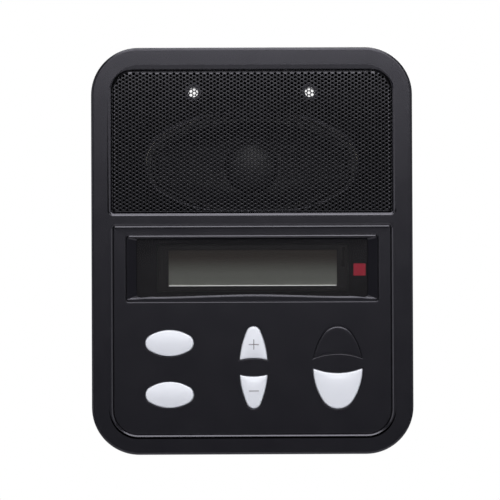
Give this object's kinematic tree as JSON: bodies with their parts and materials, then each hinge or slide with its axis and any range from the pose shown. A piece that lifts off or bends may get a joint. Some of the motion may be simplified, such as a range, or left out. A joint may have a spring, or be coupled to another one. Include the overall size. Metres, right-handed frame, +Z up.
{
  "type": "wall intercom station",
  "caption": "Black wall intercom station with a pierced speaker grille, a two-line display, a red signal window and white push keys, open at the back over a wall box.",
  "frame": {"origin": "middle of the rim that rests on the wall, in the wall plane", "axes": "+Y into the wall, +Z up along the station's height, +X to the right as seen from the front"},
  "size_m": [0.165, 0.0446, 0.209],
  "materials": {
    "housing_abs": "moulded ABS, satin gloss black",
    "grille_steel": "pierced steel, powder coated black",
    "lens_acrylic": "smoked acrylic, gloss",
    "signal_red": "translucent red acrylic",
    "key_white": "moulded ABS, satin white",
    "silicone_mat": "moulded silicone rubber, grey",
    "circuit_board": "glass epoxy board, green solder resist",
    "display_frame": "blackened steel sheet",
    "display_glass": "liquid crystal glass, grey green",
    "light_guide_white": "white acrylic",
    "black_resin": "black epoxy resin",
    "ribbon_grey": "grey PVC ribbon",
    "terminal_green": "green polyamide",
    "plated_steel": "zinc plated steel",
    "capacitor_sleeve": "dark blue shrink sleeve",
    "connector_nylon": "natural nylon",
    "lead_pvc": "PVC insulated lead",
    "foam": "closed cell foam, black",
    "pressed_steel": "pressed steel, zinc plated",
    "surround_cloth": "coated black cloth",
    "cone_paper": "pressed paper pulp, black",
    "cap_felt": "pressed cap, black",
    "coil_copper": "enamelled copper on paper former",
    "spider_cloth": "resin dipped cloth, ochre",
    "ferrite": "sintered ferrite",
    "strip_phenolic": "phenolic paper board",
    "lamp_epoxy": "clear epoxy"
  },
  "bodies": {
    "station": {"front_housing": "housing_abs", "speaker_grille": "grille_steel", "display_lens": "lens_acrylic", "signal_window": "signal_red", "signal_lamp": "lamp_epoxy", "blank_key_insert": "housing_abs", "module_frame": "display_frame", "display_glass": "display_glass", "light_guide": "light_guide_white", "module_board": "circuit_board", "chip_drops": "black_resin", "board_ribbon": "ribbon_grey", "keypad_mat": "silicone_mat", "control_board": "circuit_board", "terminal_block": "terminal_green", "terminal_screws": "plated_steel", "capacitors": "capacitor_sleeve", "controller_chip": "black_resin", "amplifier_chip": "black_resin", "speaker_socket": "connector_nylon", "speaker_plug": "connector_nylon", "speaker_leads": "lead_pvc", "speaker_gasket": "foam", "speaker_frame": "pressed_steel", "cone_surround": "surround_cloth", "spider": "spider_cloth", "pole_plate": "pressed_steel", "speaker_magnet": "ferrite", "magnet_pot": "pressed_steel", "terminal_strip": "strip_phenolic", "board_screws": "plated_steel", "module_screws": "plated_steel", "speaker_screws": "plated_steel"},
    "source_button": {"source_key": "key_white"},
    "set_button": {"set_key": "key_white"},
    "volume_up_button": {"volume_up_key": "key_white"},
    "volume_down_button": {"volume_down_key": "key_white"},
    "talk_button": {"talk_key": "key_white"},
    "cone_assembly": {"speaker_cone": "cone_paper", "dust_cap": "cap_felt", "voice_coil": "coil_copper"}
  },
  "joints": [
    {"name": "source_press", "type": "slide", "parent": "station", "child": "source_button", "axis": [0, 1, 0], "range_m": [0, 0.001], "stiffness_N_per_m": 1200, "deforming": ["keypad_mat"]},
    {"name": "set_press", "type": "slide", "parent": "station", "child": "set_button", "axis": [0, 1, 0], "range_m": [0, 0.001], "stiffness_N_per_m": 1200, "deforming": ["keypad_mat"]},
    {"name": "volume_up_press", "type": "slide", "parent": "station", "child": "volume_up_button", "axis": [0, 1, 0], "range_m": [0, 0.001], "stiffness_N_per_m": 1200, "deforming": ["keypad_mat"]},
    {"name": "volume_down_press", "type": "slide", "parent": "station", "child": "volume_down_button", "axis": [0, 1, 0], "range_m": [0, 0.001], "stiffness_N_per_m": 1200, "deforming": ["keypad_mat"]},
    {"name": "talk_press", "type": "slide", "parent": "station", "child": "talk_button", "axis": [0, 1, 0], "range_m": [0, 0.001], "stiffness_N_per_m": 1200, "deforming": ["keypad_mat"]},
    {"name": "cone_travel", "type": "slide", "parent": "station", "child": "cone_assembly", "axis": [0, -1, 0], "range_m": [-0.001, 0.001], "stiffness_N_per_m": 2500, "deforming": ["cone_surround", "spider"]}
  ]
}
